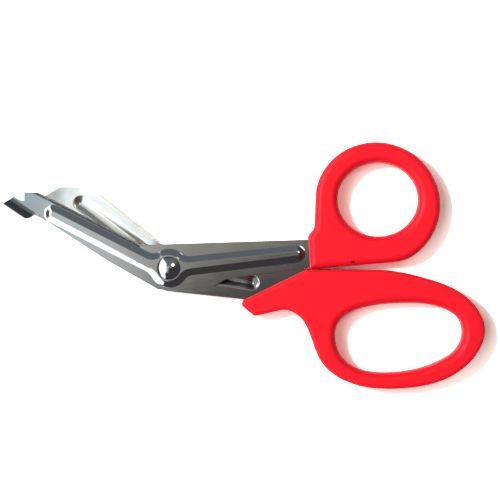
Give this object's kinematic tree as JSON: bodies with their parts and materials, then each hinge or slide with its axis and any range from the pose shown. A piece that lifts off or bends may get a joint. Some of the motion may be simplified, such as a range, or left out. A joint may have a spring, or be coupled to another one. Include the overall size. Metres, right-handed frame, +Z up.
{
  "type": "bandage scissors",
  "caption": "Angled bandage scissors: ribbed steel blades on a domed rivet, a blunt folded foot on the lower tip, and red plastic thumb and finger loops.",
  "frame": {"origin": "on the pivot axis, at the flat end of the rivet's tail, level with the surface the scissors lie on", "axes": "+X from the pivot towards the handles, +Y towards the thumb loop, +Z up along the pivot axis, out of the side with the rivet's dome"},
  "size_m": [0.184, 0.0942, 0.0093],
  "materials": {
    "blade_steel": "polished stainless sheet with a fine grain",
    "rivet_steel": "bright polished",
    "handle_plastic": "smooth moulded, soft gloss"
  },
  "bodies": {
    "finger_half": {"finger_handle": "handle_plastic", "top_blade": "blade_steel", "pivot_rivet": "rivet_steel"},
    "thumb_half": {"thumb_handle": "handle_plastic", "foot_blade": "blade_steel"}
  },
  "joints": [
    {"name": "blade_pivot", "type": "hinge", "parent": "finger_half", "child": "thumb_half", "pos_m": [0, 0, 0.0045], "axis": [0, 0, 1], "range_deg": [0, 70]}
  ]
}
